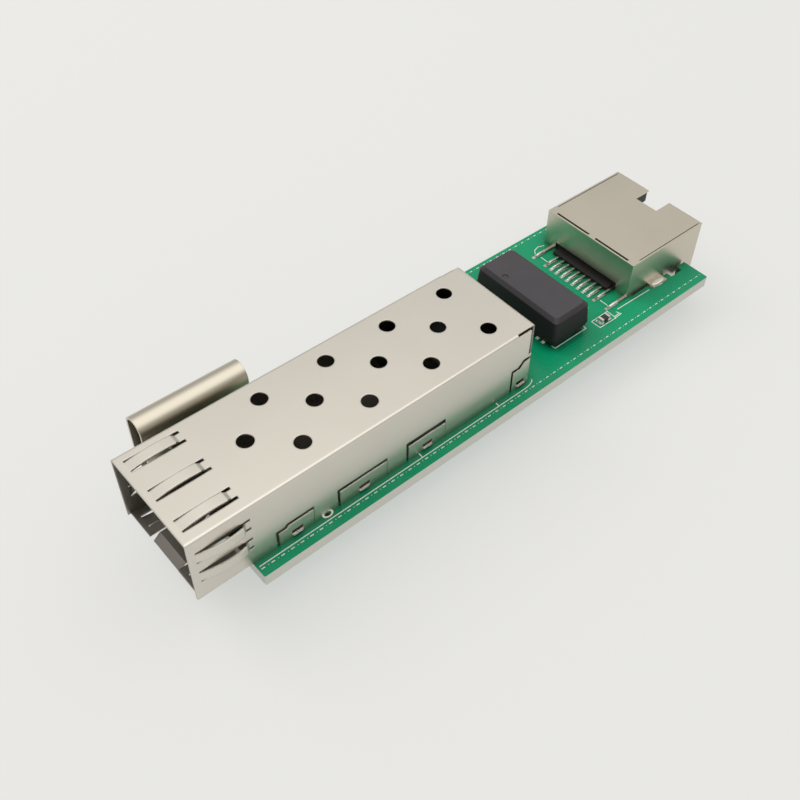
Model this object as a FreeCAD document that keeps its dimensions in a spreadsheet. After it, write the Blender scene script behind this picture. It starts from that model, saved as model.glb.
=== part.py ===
import FreeCAD
import Part
import math
import os
from FreeCAD import Placement
from FreeCAD import Rotation
from FreeCAD import Vector

os.makedirs("parts", exist_ok=True)
doc = FreeCAD.newDocument("fibre_media_converter")
sheet = doc.addObject("Spreadsheet::Sheet", "Sizes")
sheet_row = [0]


def size(alias, value):
    """Write one driving dimension, in mm or a plain count, into the sheet."""
    sheet_row[0] += 1
    cell = "B%d" % sheet_row[0]
    sheet.set("A%d" % sheet_row[0], alias)
    sheet.set(cell, str(value))
    sheet.setAlias(cell, alias)
    return value


# Board. X runs from the cage mouth to the network jack, Z = 0 is the top of the board.
board_behind_cage = size("board_behind_cage", 34.05)
board_thickness = size("board_thickness", 1.6)
board_corner = size("board_corner", 0.2)

# Optical module cage, folded from thin plated sheet round the twenty way socket.
sheet_metal = size("sheet_metal", 0.25)
host_width = size("host_width", 12.8)
host_side_gap = size("host_side_gap", 0.475)
cage_length = size("cage_length", 48.7)
cage_width = size("cage_width", host_width + 2 * (host_side_gap + sheet_metal))
cage_height = size("cage_height", 9.6)
cage_bend = size("cage_bend", 0.35)
cage_overhang = size("cage_overhang", 6.75)
cage_edge_gap = size("cage_edge_gap", 2.2)
vent_diameter = size("vent_diameter", 2.0)
vent_count = size("vent_count", 4)
vent_spread = size("vent_spread", 4.0)
vent_front = size("vent_front", 11.95)
vent_rear = size("vent_rear", 4.9)
vent_pitch = size("vent_pitch", (cage_length - vent_front - vent_rear) / (vent_count - 0.5))
punch_offset = size("punch_offset", 0.25)
finger_width = size("finger_width", 1.35)
finger_slit = size("finger_slit", 0.25)
finger_root = size("finger_root", 0.85)
finger_length = size("finger_length", 5.4)
finger_neck = size("finger_neck", 1.05)
finger_bow = size("finger_bow", 0.4)
side_finger_bow = size("side_finger_bow", 0.65)
finger_pitch = size("finger_pitch", 4.85)
side_finger_pitch = size("side_finger_pitch", 3.3)
flap_gap = size("flap_gap", 0.35)
window_length = size("window_length", 1.5)
window_height = size("window_height", 0.7)
window_low = size("window_low", 0.45)
pin_width = size("pin_width", 0.6)
pin_reach = size("pin_reach", 1.4)
pin_hole = size("pin_hole", 0.7)
rear_slot_length = size("rear_slot_length", 3.0)
rear_slot_depth = size("rear_slot_depth", 4.2)
rear_slot_width = size("rear_slot_width", 0.55)
tongue_width = size("tongue_width", 5.1)
tongue_setback = size("tongue_setback", 1.35)
tongue_drop = size("tongue_drop", 0.75)
tongue_length = size("tongue_length", 12.0)

# Twenty way socket for the optical module, inside the cage.
host_depth = size("host_depth", 8.8)
host_height = size("host_height", 5.4)
host_gap = size("host_gap", 2.4)
card_slot_width = size("card_slot_width", 9.6)
card_slot_height = size("card_slot_height", 1.5)
card_slot_level = size("card_slot_level", 2.3)
host_pitch = size("host_pitch", 0.8)
host_wire = size("host_wire", 0.34)
host_strip = size("host_strip", 0.2)

# Network jack, sunk into a cut-out in the board.
plug_depth = size("plug_depth", 11.8)
jack_back = size("jack_back", 3.2)
jack_length = size("jack_length", plug_depth + jack_back)
jack_width = size("jack_width", 15.9)
jack_above = size("jack_above", 5.7)
jack_below = size("jack_below", 5.8)
jack_overhang = size("jack_overhang", 2.5)
jack_arm = size("jack_arm", 2.15)
jack_clearance = size("jack_clearance", 0.25)
jack_seat = size("jack_seat", 1.0)
jack_slot = size("jack_slot", 0.35)
jack_seam = size("jack_seam", 0.12)
plug_width = size("plug_width", 11.8)
plug_height = size("plug_height", 6.7)
plug_floor = size("plug_floor", 1.3)
latch_width = size("latch_width", 6.1)
latch_height = size("latch_height", 1.5)
notch_width = size("notch_width", 3.9)
notch_length = size("notch_length", 3.0)
jack_pitch = size("jack_pitch", 1.02)
jack_wire = size("jack_wire", 0.32)
jack_strip = size("jack_strip", 0.3)
tail_pitch = size("tail_pitch", 1.03)
tail_shift = size("tail_shift", -0.72)
tail_reach = size("tail_reach", 3.65)
end_tail_spread = size("end_tail_spread", 4.7)
shield_foot_spread = size("shield_foot_spread", 7.0)
shield_foot_width = size("shield_foot_width", 0.4)
window_half = size("window_half", 5.8)
window_high = size("window_high", 0.75)
foot_block_half = size("foot_block_half", 5.1)
foot_block_length = size("foot_block_length", 1.15)
foot_block_height = size("foot_block_height", 0.5)
tab_place = size("tab_place", jack_length * 0.3)
tab_length = size("tab_length", jack_length * 0.19)
tab_reach = size("tab_reach", 1.2)
notch_clear_place = size("notch_clear_place", jack_length * 0.57)
notch_clear_length = size("notch_clear_length", jack_length * 0.15)
notch_clear_width = size("notch_clear_width", 0.9)

# Transformer across the board between cage and jack.
transformer_length = size("transformer_length", 15.1)
transformer_width = size("transformer_width", 6.9)
transformer_height = size("transformer_height", 4.9)
transformer_gap = size("transformer_gap", 5.85)
transformer_bevel = size("transformer_bevel", 0.5)
transformer_seam = size("transformer_seam", 1.5)
transformer_foot = size("transformer_foot", 0.4)
transformer_corner = size("transformer_corner", 0.6)
transformer_draft = size("transformer_draft", 0.35)
dot_diameter = size("dot_diameter", 0.9)
dot_depth = size("dot_depth", 0.1)

# Power socket standing on its edge beside the cage.
power_tall = size("power_tall", 8.94)
power_thick = size("power_thick", 3.2)
power_length = size("power_length", 13.8)
power_overhang = size("power_overhang", 2.25)
power_edge_gap = size("power_edge_gap", 2.5)
power_cage_gap = size("power_cage_gap", 2.25)
power_sheet = size("power_sheet", 0.3)
power_tongue = size("power_tongue", 0.7)
power_recess = size("power_recess", 0.8)
power_depth = size("power_depth", 6.7)

# Small parts. A ferrite bead on top, the converter's electronics underneath.
bead_length = size("bead_length", 1.6)
bead_width = size("bead_width", 0.85)
bead_height = size("bead_height", 0.6)
converter_side = size("converter_side", 8.0)
converter_height = size("converter_height", 0.85)
memory_length = size("memory_length", 4.9)
memory_width = size("memory_width", 3.9)
memory_height = size("memory_height", 1.35)
regulator_length = size("regulator_length", 2.9)
regulator_width = size("regulator_width", 1.6)
regulator_height = size("regulator_height", 1.0)
crystal_length = size("crystal_length", 5.0)
crystal_width = size("crystal_width", 3.2)
crystal_height = size("crystal_height", 0.9)
inductor_side = size("inductor_side", 4.0)
inductor_height = size("inductor_height", 1.8)
supply_length = size("supply_length", 3.2)
supply_width = size("supply_width", 1.6)
supply_height = size("supply_height", 1.4)
passive_length = size("passive_length", 1.0)
passive_width = size("passive_width", 0.5)
passive_pitch = size("passive_pitch", 1.6)

wall = sheet_metal
half_cage = cage_width / 2
board_front = cage_overhang
board_rear = cage_length + board_behind_cage
board_right = -(half_cage + cage_edge_gap)
power_centre = half_cage + power_cage_gap + power_thick / 2
board_left = power_centre + power_edge_gap
jack_rear = board_rear + jack_overhang
jack_front = jack_rear - jack_length
jack_centre = board_left - jack_arm - jack_clearance - jack_width / 2
jack_bottom = -jack_below

home = Placement(
    Vector(-jack_rear / 2, -(board_right + board_left) / 2, jack_below), Rotation()
)


def new_body(label):
    body = doc.addObject("PartDesign::Body", label)
    body.Label = label
    body.Placement = home
    return body


def sketch_on(body, role, offset):
    """Start a sketch on one of the body's own origin planes, moved along its normal."""
    sketch = body.newObject("Sketcher::SketchObject", "Sketch")
    plane = [item for item in body.Origin.OriginFeatures if item.Role == role][0]
    sketch.AttachmentSupport = [(plane, "")]
    sketch.MapMode = "FlatFace"
    sketch.AttachmentOffset = Placement(Vector(0, 0, offset), Rotation())
    return sketch


def trace(sketch, start, steps):
    """Draw one closed outline. A step is a line's end, or an arc's middle and end."""
    here = Vector(start[0], start[1], 0)
    for step in list(steps) + [start]:
        there = Vector(step[-2], step[-1], 0)
        if len(step) == 4:
            middle = Vector(step[0], step[1], 0)
            sketch.addGeometry(Part.Arc(here, middle, there), False)
        elif there.distanceToPoint(here) > 1e-7:
            sketch.addGeometry(Part.LineSegment(here, there), False)
        here = there


def rectangle(sketch, low_x, low_y, high_x, high_y):
    trace(sketch, (low_x, low_y), [(high_x, low_y), (high_x, high_y), (low_x, high_y)])


def rounded(sketch, low_x, low_y, high_x, high_y, radius):
    """Rectangle with its four corners rounded."""
    trace(sketch, (low_x + radius, low_y), [
        (high_x - radius, low_y),
        bend(high_x - radius, low_y + radius, radius, -90, 0),
        (high_x, high_y - radius),
        bend(high_x - radius, high_y - radius, radius, 0, 90),
        (low_x + radius, high_y),
        bend(low_x + radius, high_y - radius, radius, 90, 180),
        (low_x, low_y + radius),
        bend(low_x + radius, low_y + radius, radius, 180, 270),
    ])


def circle(sketch, centre_x, centre_y, diameter):
    sketch.addGeometry(Part.Circle(Vector(centre_x, centre_y, 0), Vector(0, 0, 1), diameter / 2), False)


def bend(centre_x, centre_y, radius, start_deg, end_deg):
    """Middle and end of an arc about a centre, as one step of a traced outline."""
    middle = math.radians((start_deg + end_deg) / 2)
    end = math.radians(end_deg)
    return (
        centre_x + radius * math.cos(middle),
        centre_y + radius * math.sin(middle),
        centre_x + radius * math.cos(end),
        centre_y + radius * math.sin(end),
    )


def pad(body, sketch, length, reverse=False):
    """Thicken a sketch along its normal by a sheet expression or a length in mm."""
    feature = body.newObject("PartDesign::Pad", "Pad")
    feature.Profile = sketch
    feature.Reversed = reverse
    feature.setExpression("Length", str(length))
    sketch.Visibility = False
    return feature


def pocket(body, sketch, depth):
    """Cut a sketch against its normal by a sheet expression or a depth in mm."""
    feature = body.newObject("PartDesign::Pocket", "Pocket")
    feature.Profile = sketch
    feature.setExpression("Length", str(depth))
    sketch.Visibility = False
    return feature


def solid_node(label, shape):
    node = doc.addObject("Part::Feature", label)
    node.Label = label
    node.Shape = shape
    node.Placement = home
    return node


def block(low_x, high_x, low_y, high_y, low_z, high_z):
    return Part.makeBox(high_x - low_x, high_y - low_y, high_z - low_z, Vector(low_x, low_y, low_z))


def strip(points, centre_y, width):
    """A flat strip bent in the XZ plane: its closed side outline and its width."""
    corners = [Vector(x, centre_y - width / 2, z) for x, z in points]
    face = Part.Face(Part.makePolygon(corners + [corners[0]]))
    return face.extrude(Vector(0, width, 0))


def row(count, pitch):
    """Centres of a row of equal pieces, about zero."""
    return [(index - (count - 1) / 2) * pitch for index in range(count)]


# The cage's lower cut-outs: front and rear end as shares of the cage's length, height at
# the front and at the rear, and how far the tray's flap stops below the cut-out's top edge.
flaps = [
    (cage_length * 0.205, cage_length * 0.308, 2.6, 2.95, 0.55),
    (cage_length * 0.374, cage_length * 0.52, 2.95, 2.95, 0.55),
    (cage_length * 0.579, cage_length * 0.704, 3.15, 3.15, 0.75),
    (cage_length * 0.926, cage_length - cage_bend, 3.8, 4.65, 0.55),
]
flap_step = 2.2
pin_places = [cage_length * share for share in (0.17, 0.341, 0.548, 0.747, 0.875)]


def flap_outline(flap, is_flap):
    """Side outline of one cut-out in the cover, or of the tray's smaller flap inside it."""
    front, rear, low, high, drop = flap
    gap = flap_gap if is_flap else 0
    below = drop if is_flap else 0
    rear_gap = 0.05 if is_flap else 0
    step = front + flap_step / 2
    return (front + gap, 0), [
        (front + gap, low - below),
        (step + gap, low - below),
        (step + gap + high - low, high - below),
        (rear - rear_gap, high - below),
        (rear - rear_gap, 0),
    ]


# Circuit board, with the jack's cut-out at its rear and holes for the cage's pins.
board = new_body("circuit_board")
cut_front = jack_front + jack_seat
cut_right = jack_centre - jack_width / 2 - jack_clearance
cut_left = jack_centre + jack_width / 2 + jack_clearance
arm_front = jack_front + notch_clear_place
arm_rear = arm_front + notch_clear_length
outline = sketch_on(board, "XY_Plane", 0)
trace(outline, (board_front + board_corner, board_right), [
    (board_rear - board_corner, board_right),
    bend(board_rear - board_corner, board_right + board_corner, board_corner, -90, 0),
    (board_rear, cut_right),
    (arm_rear, cut_right),
    (arm_rear, cut_right - notch_clear_width),
    (arm_front, cut_right - notch_clear_width),
    (arm_front, cut_right),
    (cut_front, cut_right),
    (cut_front, cut_left),
    (board_rear, cut_left),
    (board_rear, board_left - board_corner),
    bend(board_rear - board_corner, board_left - board_corner, board_corner, 0, 90),
    (board_front + board_corner, board_left),
    bend(board_front + board_corner, board_left - board_corner, board_corner, 90, 180),
    (board_front, board_right + board_corner),
    bend(board_front + board_corner, board_right + board_corner, board_corner, 180, 270),
])
pad(board, outline, "Sizes.board_thickness", True)
pin_line = half_cage - wall / 2
holes = sketch_on(board, "XY_Plane", 0)
for side in (-1, 1):
    for place in pin_places:
        circle(holes, place, side * pin_line, pin_hole)
power_front = board_front - power_overhang
power_legs = [power_front + power_length * share for share in (0.36, 0.84)]
leg_width = power_length * 0.08
leg_hole = leg_width * 1.3
leg_line = power_thick / 2 + power_sheet / 2
for leg in power_legs:
    for side in (-1, 1):
        circle(holes, leg, power_centre + side * leg_line, leg_hole)
pocket(board, holes, "Sizes.board_thickness")

# Cage cover: top, two walls and rear flap folded from one sheet, open at the mouth.
cover = new_body("cage_cover")
top = cage_height
inner_bend = cage_bend - wall
section = sketch_on(cover, "YZ_Plane", 0)
trace(section, (-half_cage, 0), [
    (-half_cage, top - cage_bend),
    bend(-half_cage + cage_bend, top - cage_bend, cage_bend, 180, 90),
    (half_cage - cage_bend, top),
    bend(half_cage - cage_bend, top - cage_bend, cage_bend, 90, 0),
    (half_cage, 0),
    (half_cage - wall, 0),
    (half_cage - wall, top - cage_bend),
    bend(half_cage - cage_bend, top - cage_bend, inner_bend, 0, 90),
    (-half_cage + cage_bend, top - wall),
    bend(-half_cage + cage_bend, top - cage_bend, inner_bend, 90, 180),
    (-half_cage + wall, 0),
])
pad(cover, section, "Sizes.cage_length - Sizes.cage_bend")

flap_half = half_cage - cage_bend
rear = sketch_on(cover, "XZ_Plane", -flap_half)
bend_x = cage_length - cage_bend
trace(rear, (bend_x, top), [
    bend(bend_x, top - cage_bend, cage_bend, 90, 0),
    (cage_length, 0.3),
    (cage_length - wall, 0.3),
    (cage_length - wall, top - cage_bend),
    bend(bend_x, top - cage_bend, inner_bend, 0, 90),
])
pad(cover, rear, 2 * flap_half)

slot_end = finger_root + finger_length + finger_neck
slot_half = finger_width / 2 + finger_slit
top_cuts = sketch_on(cover, "XY_Plane", top + 1)
for centre in row(vent_count, vent_pitch):
    vent_x = cage_length - vent_rear - (vent_count - 1) / 2 * vent_pitch + centre
    circle(top_cuts, vent_x, punch_offset + vent_spread, vent_diameter)
    circle(top_cuts, vent_x, punch_offset - vent_spread, vent_diameter)
    circle(top_cuts, vent_x - vent_pitch / 2, punch_offset, vent_diameter)
for centre in row(3, finger_pitch):
    centre_y = centre + punch_offset
    rectangle(top_cuts, finger_root, centre_y - slot_half, slot_end, centre_y + slot_half)
for side in (-1, 1):
    inner = side * flap_half
    outer = side * (half_cage + 1)
    rectangle(top_cuts, cage_length - rear_slot_length, min(inner, outer), cage_length + 1, max(inner, outer))
pocket(cover, top_cuts, 1 + cage_bend)

side_levels = [top - 2.8 - index * side_finger_pitch for index in range(2)]
for side in (-1, 1):
    plane_y = -half_cage - 1 if side < 0 else half_cage - wall - 1
    side_cuts = sketch_on(cover, "XZ_Plane", -plane_y)
    for flap in flaps:
        start, steps = flap_outline(flap, False)
        trace(side_cuts, start, steps)
    for level in side_levels:
        rectangle(side_cuts, finger_root, level - slot_half, slot_end, level + slot_half)
    wall_end = cage_length - wall - 0.02
    rectangle(side_cuts, wall_end - rear_slot_width, top - cage_bend - rear_slot_depth, wall_end, top - cage_bend)
    pocket(cover, side_cuts, 2 + wall)


finger_stand = 0.75


def finger_outline(sketch, level, rise, inner):
    """Bowed strip along X that bulges out of a wall and stands proud at its rear."""
    back = finger_root + finger_length
    middle = finger_root + finger_length * 0.62
    stand = rise * finger_stand
    trace(sketch, (finger_root, level), [
        (middle, level + rise, back, level + stand),
        (back, level + stand - inner),
        (middle, level + rise - inner, finger_root, level - inner),
    ])


def neck_outline(sketch, level, rise, inner):
    """Narrow neck that brings the rear of a finger back into the wall."""
    back = finger_root + finger_length
    stand = rise * finger_stand
    trace(sketch, (back, level + stand), [
        (back + finger_neck * 0.4, level),
        (slot_end, level),
        (slot_end, level - inner),
        (back + finger_neck * 0.3, level - inner),
        (back, level + stand - inner),
    ])


neck_width = finger_width * 0.8


def flat_finger(body, centre, level, out):
    """Finger of a horizontal wall, centred on a Y place."""
    blade = sketch_on(body, "XZ_Plane", -(centre + finger_width / 2))
    finger_outline(blade, level, out * finger_bow, out * wall)
    pad(body, blade, "Sizes.finger_width")
    neck = sketch_on(body, "XZ_Plane", -(centre + neck_width / 2))
    neck_outline(neck, level, out * finger_bow, out * wall)
    pad(body, neck, "Sizes.finger_width * 0.8")


def side_finger(body, centre, level, out):
    """Finger of a side wall, centred on a height."""
    blade = sketch_on(body, "XY_Plane", centre - finger_width / 2)
    finger_outline(blade, level, out * side_finger_bow, out * wall)
    pad(body, blade, "Sizes.finger_width")
    neck = sketch_on(body, "XY_Plane", centre - neck_width / 2)
    neck_outline(neck, level, out * side_finger_bow, out * wall)
    pad(body, neck, "Sizes.finger_width * 0.8")


for centre in row(3, finger_pitch):
    flat_finger(cover, centre + punch_offset, top, 1)
for side in (-1, 1):
    for level in side_levels:
        side_finger(cover, level, side * half_cage, side)

for side in (-1, 1):
    outer_y = -half_cage + wall if side < 0 else half_cage
    pins = sketch_on(cover, "XZ_Plane", -outer_y)
    for place in pin_places:
        foot = -board_thickness - pin_reach
        trace(pins, (place - pin_width / 2, 0.3), [
            (place - pin_width / 2, foot + 0.4),
            (place - pin_width / 4, foot),
            (place + pin_width / 4, foot),
            (place + pin_width / 2, foot + 0.4),
            (place + pin_width / 2, 0.3),
        ])
    pad(cover, pins, "Sizes.sheet_metal")

# Cage tray: the floor, its side flaps, the latch tongue and the wall behind the socket.
tray = new_body("cage_tray")
floor_half = half_cage - wall
host_front = cage_length - wall - host_gap - host_depth
tray_rear = cage_length - 2 * wall - 0.05
floor = sketch_on(tray, "XY_Plane", 0)
rectangle(floor, 0.3, -floor_half, tray_rear, floor_half)
opening_margin = 0.3
rectangle(floor, host_front - 1.5, -host_width / 2 - opening_margin, tray_rear - 0.6, host_width / 2 + opening_margin)
latch_front = 4.0
latch_rear = 6.6
trace(floor, (latch_front, 0), [(latch_rear, -1.3), (latch_rear, 1.3)])
for side in (-1, 1):
    centre = side * finger_pitch
    rectangle(floor, finger_root, centre - slot_half, slot_end, centre + slot_half)
pad(tray, floor, "Sizes.sheet_metal")
tongue_half = tongue_width / 2
tongue_slits = sketch_on(tray, "XY_Plane", wall)
trace(tongue_slits, (-1, -tongue_half - 0.3), [
    (tongue_length, -tongue_half - 0.3),
    (tongue_length, -tongue_half),
    (tongue_setback, -tongue_half),
    (tongue_setback, tongue_half),
    (tongue_length, tongue_half),
    (tongue_length, tongue_half + 0.3),
    (-1, tongue_half + 0.3),
])
pocket(tray, tongue_slits, "Sizes.sheet_metal")
lip = sketch_on(tray, "XZ_Plane", -tongue_half)
lip_end = tongue_setback * 0.45
trace(lip, (tongue_setback, 0), [
    (lip_end, -tongue_drop),
    (lip_end - wall * 0.6, wall * 0.8 - tongue_drop),
    (tongue_setback, wall),
])
pad(tray, lip, "Sizes.tongue_width")
for side in (-1, 1):
    outer_y = -half_cage + wall if side < 0 else half_cage
    side_flaps = sketch_on(tray, "XZ_Plane", -outer_y)
    for flap in flaps:
        start, steps = flap_outline(flap, True)
        trace(side_flaps, start, steps)
        window_x = (flap[0] + flap[1]) / 2 + 0.2
        window_high = window_low + window_height
        rectangle(side_flaps, window_x - window_length / 2, window_low, window_x + window_length / 2, window_high)
    pad(tray, side_flaps, "Sizes.sheet_metal")
    flat_finger(tray, side * finger_pitch, 0, -1)
rear_wall = sketch_on(tray, "XZ_Plane", -(flap_half - 0.2))
rectangle(rear_wall, tray_rear - wall, 0, tray_rear, 2.4)
pad(tray, rear_wall, 2 * (flap_half - 0.2))

# Twenty way socket with an upper and a lower row of contacts.
host_rear = host_front + host_depth
lower_strip = [
    (host_front - 1.1, 0), (host_front - 1.1, host_strip), (host_front + 0.7, host_strip),
    (host_front + 0.7, card_slot_level + host_strip), (host_front + 5.6, card_slot_level + host_strip),
    (host_front + 5.6, card_slot_level), (host_front + 0.9, card_slot_level), (host_front + 0.9, 0),
]
slot_roof = card_slot_level + card_slot_height
upper_strip = [
    (host_rear + 1.3, 0), (host_rear + 1.3, host_strip), (host_rear + host_strip, host_strip),
    (host_rear + host_strip, slot_roof), (host_front + 1.0, slot_roof),
    (host_front + 1.0, slot_roof - host_strip), (host_rear, slot_roof - host_strip), (host_rear, 0),
]
lower_row = Part.makeCompound([strip(lower_strip, centre, host_wire) for centre in row(10, host_pitch)])
upper_row = Part.makeCompound([strip(upper_strip, centre, host_wire) for centre in row(10, host_pitch)])
solid_node("host_contacts_lower", lower_row)
solid_node("host_contacts_upper", upper_row)
host = block(host_front, host_rear, -host_width / 2, host_width / 2, 0, host_height)
host = host.cut(block(
    host_front - 1, host_front + 6.4, -card_slot_width / 2, card_slot_width / 2, card_slot_level, slot_roof
))
host = host.makeChamfer(0.7, [
    edge for edge in host.Edges
    if abs(edge.CenterOfMass.x - host_front) < 0.01 and edge.Length > host_width - 0.1
])
host = host.cut(lower_row).cut(upper_row)
solid_node("host_connector", host)

# Network jack's shield: a folded tube with its front wall, latch notch and solder tabs.
shield = new_body("jack_shield")
jack_half = jack_width / 2
tube = sketch_on(shield, "YZ_Plane", jack_front)
rectangle(tube, jack_centre - jack_half, jack_bottom, jack_centre + jack_half, jack_above)
rectangle(
    tube, jack_centre - jack_half + wall, jack_bottom + wall, jack_centre + jack_half - wall, jack_above - wall
)
pad(shield, tube, "Sizes.jack_length")
front_wall = sketch_on(shield, "YZ_Plane", jack_front)
trace(front_wall, (jack_centre - jack_half, 0), [
    (jack_centre - jack_half, jack_above),
    (jack_centre + jack_half, jack_above),
    (jack_centre + jack_half, 0),
    (jack_centre + window_half, 0),
    (jack_centre + window_half, window_high),
    (jack_centre - window_half, window_high),
    (jack_centre - window_half, 0),
])
pad(shield, front_wall, "Sizes.sheet_metal")
notch = sketch_on(shield, "XY_Plane", jack_above + 1)
notch_half = notch_width / 2
rectangle(notch, jack_rear - notch_length, jack_centre - notch_half, jack_rear + 1, jack_centre + notch_half)
pocket(shield, notch, "1 + Sizes.sheet_metal")
seams = sketch_on(shield, "XY_Plane", jack_above + 1)
slot_front = jack_front + wall
for side in (-1, 1):
    near = jack_centre + side * 0.6
    far = jack_centre + side * (jack_half - 1.3)
    rectangle(seams, slot_front, min(near, far), slot_front + jack_slot, max(near, far))
    seam_edge = jack_centre + side * (jack_half - wall)
    seam_inner = seam_edge - side * jack_seam
    seam_low = min(seam_edge, seam_inner)
    rectangle(seams, jack_front + 1.6, seam_low, jack_rear + 1, max(seam_edge, seam_inner))
pocket(shield, seams, "1 + Sizes.sheet_metal")
under_front = sketch_on(shield, "XZ_Plane", -(jack_centre - jack_half - 1))
rectangle(under_front, jack_front - 1, jack_bottom - 1, cut_front + jack_clearance, 0)
pocket(shield, under_front, "Sizes.jack_width + 2")
tab_front = jack_front + tab_place
tail_centre = jack_centre + tail_shift
tail_tip = jack_front - tail_reach
for side in (-1, 1):
    edge_y = jack_centre + side * jack_half
    out_y = edge_y + side * tab_reach
    tab = sketch_on(shield, "XY_Plane", 0)
    rectangle(tab, tab_front, min(edge_y, out_y), tab_front + tab_length, max(edge_y, out_y))
    pad(shield, tab, "Sizes.sheet_metal")
    foot_y = tail_centre + side * shield_foot_spread
    foot_low = foot_y - shield_foot_width / 2
    front_foot = sketch_on(shield, "XY_Plane", 0)
    rectangle(front_foot, tail_tip, foot_low, jack_front + wall, foot_low + shield_foot_width)
    pad(shield, front_foot, "Sizes.sheet_metal")

# Jack's contacts: a soldered tail on the board, down behind the plug and back up as a spring.
# The row of tails is set to one side of the row of springs, so each tail runs back at a slant.
plug_rear = jack_rear - 0.3
plug_end = plug_rear - plug_depth
plug_low = jack_bottom + wall + plug_floor
wire_low = jack_bottom + wall + 0.5
turn_x = plug_end - 1.3
spring_x = plug_rear - 1.6
spring_tip = spring_x - plug_depth * 0.61
spring_top = plug_low + 1.6
wire = jack_strip
contact_path = [
    (turn_x, wire), (turn_x + wire, wire), (turn_x + wire, wire_low + wire),
    (spring_x, wire_low + wire), (spring_tip, spring_top), (spring_tip, spring_top + wire * 1.4),
    (spring_x + wire * 2, wire_low + wire * 1.6), (spring_x + wire * 2, wire_low), (turn_x, wire_low),
]


def slanted_tail(tail_y, spring_y):
    """Flat tail along the board that shifts sideways behind the jack's front wall."""
    half = jack_wire / 2
    corners = [
        Vector(x, y, 0) for x, y in (
            (tail_tip, tail_y - half), (jack_front, tail_y - half), (turn_x, spring_y - half),
            (turn_x + wire, spring_y - half), (turn_x + wire, spring_y + half), (turn_x, spring_y + half),
            (jack_front, tail_y + half), (tail_tip, tail_y + half),
        )
    ]
    face = Part.Face(Part.makePolygon(corners + [corners[0]]))
    return face.extrude(Vector(0, 0, wire))


contact_pieces = []
for tail_offset, spring_offset in zip(row(8, tail_pitch), row(8, jack_pitch)):
    tail = slanted_tail(tail_centre + tail_offset, jack_centre + spring_offset)
    spring = strip(contact_path, jack_centre + spring_offset, jack_wire)
    contact_pieces.append(tail.fuse(spring).removeSplitter().Solids[0])
for side in (-1, 1):
    end_y = tail_centre + side * end_tail_spread
    contact_pieces.append(block(
        tail_tip, jack_front + jack_seat, end_y - jack_wire / 2, end_y + jack_wire / 2, 0, wire
    ))
contacts = Part.makeCompound(contact_pieces)
solid_node("jack_contacts", contacts)

# Jack's insulator, with the plug's cavity, the latch's channel and the foot block.
inner_half = jack_half - wall
housing = block(
    jack_front + wall, plug_rear, jack_centre - inner_half, jack_centre + inner_half, jack_bottom + wall, jack_above - wall
)
housing = housing.cut(block(
    jack_front - 1, cut_front + jack_clearance, jack_centre - jack_half, jack_centre + jack_half, jack_bottom - 1, 0
))
housing = housing.fuse(block(
    jack_front - foot_block_length, jack_front + wall, jack_centre - foot_block_half,
    jack_centre + foot_block_half, 0, foot_block_height
))
plug_top = plug_low + plug_height
channel_front = plug_end + plug_depth * 0.25
cavity = block(
    plug_end, plug_rear + 1, jack_centre - plug_width / 2, jack_centre + plug_width / 2, plug_low, plug_top
)
channel = block(
    channel_front, plug_rear + 1, jack_centre - latch_width / 2, jack_centre + latch_width / 2,
    plug_top - 1, plug_top + latch_height
)
groove = block(
    channel_front, plug_rear + 1, jack_centre - notch_half, jack_centre + notch_half,
    plug_top, jack_above - wall - 0.3
)
rear_groove = block(
    jack_rear - notch_length, plug_rear + 1, jack_centre - notch_half, jack_centre + notch_half, plug_top, jack_above
)
housing = housing.cut(cavity.fuse([channel, groove, rear_groove])).cut(contacts)
solid_node("jack_housing", housing)

# Transformer: a moulded block with a parting line, on short feet.
transformer_front = cage_length + transformer_gap
transformer_middle = transformer_front + transformer_width / 2
transformer_centre = (board_right + board_left) / 2 - 0.1
moulding = new_body("transformer_body")
levels = [
    (transformer_foot, transformer_draft), (transformer_seam, 0),
    (transformer_height - transformer_bevel, transformer_draft * 0.7),
    (transformer_height, transformer_draft * 0.7 + transformer_bevel),
]
profiles = []
for level, inset in levels:
    ring = sketch_on(moulding, "XY_Plane", level)
    reach_x = transformer_width / 2 - inset
    reach_y = transformer_length / 2 - inset
    rounded(
        ring, transformer_middle - reach_x, transformer_centre - reach_y,
        transformer_middle + reach_x, transformer_centre + reach_y, transformer_corner
    )
    profiles.append(ring)
loft = moulding.newObject("PartDesign::AdditiveLoft", "Loft")
loft.Profile = profiles[0]
loft.Sections = profiles[1:]
loft.Ruled = True
dot = sketch_on(moulding, "XY_Plane", transformer_height)
circle(dot, transformer_front + transformer_width * 0.21, transformer_centre + transformer_length * 0.22, dot_diameter)
pocket(moulding, dot, "Sizes.dot_depth")
feet = []
for side in (-1, 1):
    foot_x = transformer_middle + side * (transformer_width / 2 - 1.1)
    for centre in row(12, 1.0):
        foot_y = transformer_centre + centre
        feet.append(block(foot_x - 0.6, foot_x + 0.6, foot_y - 0.25, foot_y + 0.25, 0, transformer_foot))
solid_node("transformer_feet", Part.makeCompound(feet))


def obround(sketch, inset):
    """Full round outline of the power socket standing on edge, drawn across X."""
    radius = power_thick / 2 - inset
    low = power_thick / 2
    high = power_tall - power_thick / 2
    trace(sketch, (power_centre - radius, low), [
        (power_centre - radius, high),
        bend(power_centre, high, radius, 180, 0),
        (power_centre + radius, low),
        bend(power_centre, low, radius, 0, -180),
    ])


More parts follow.
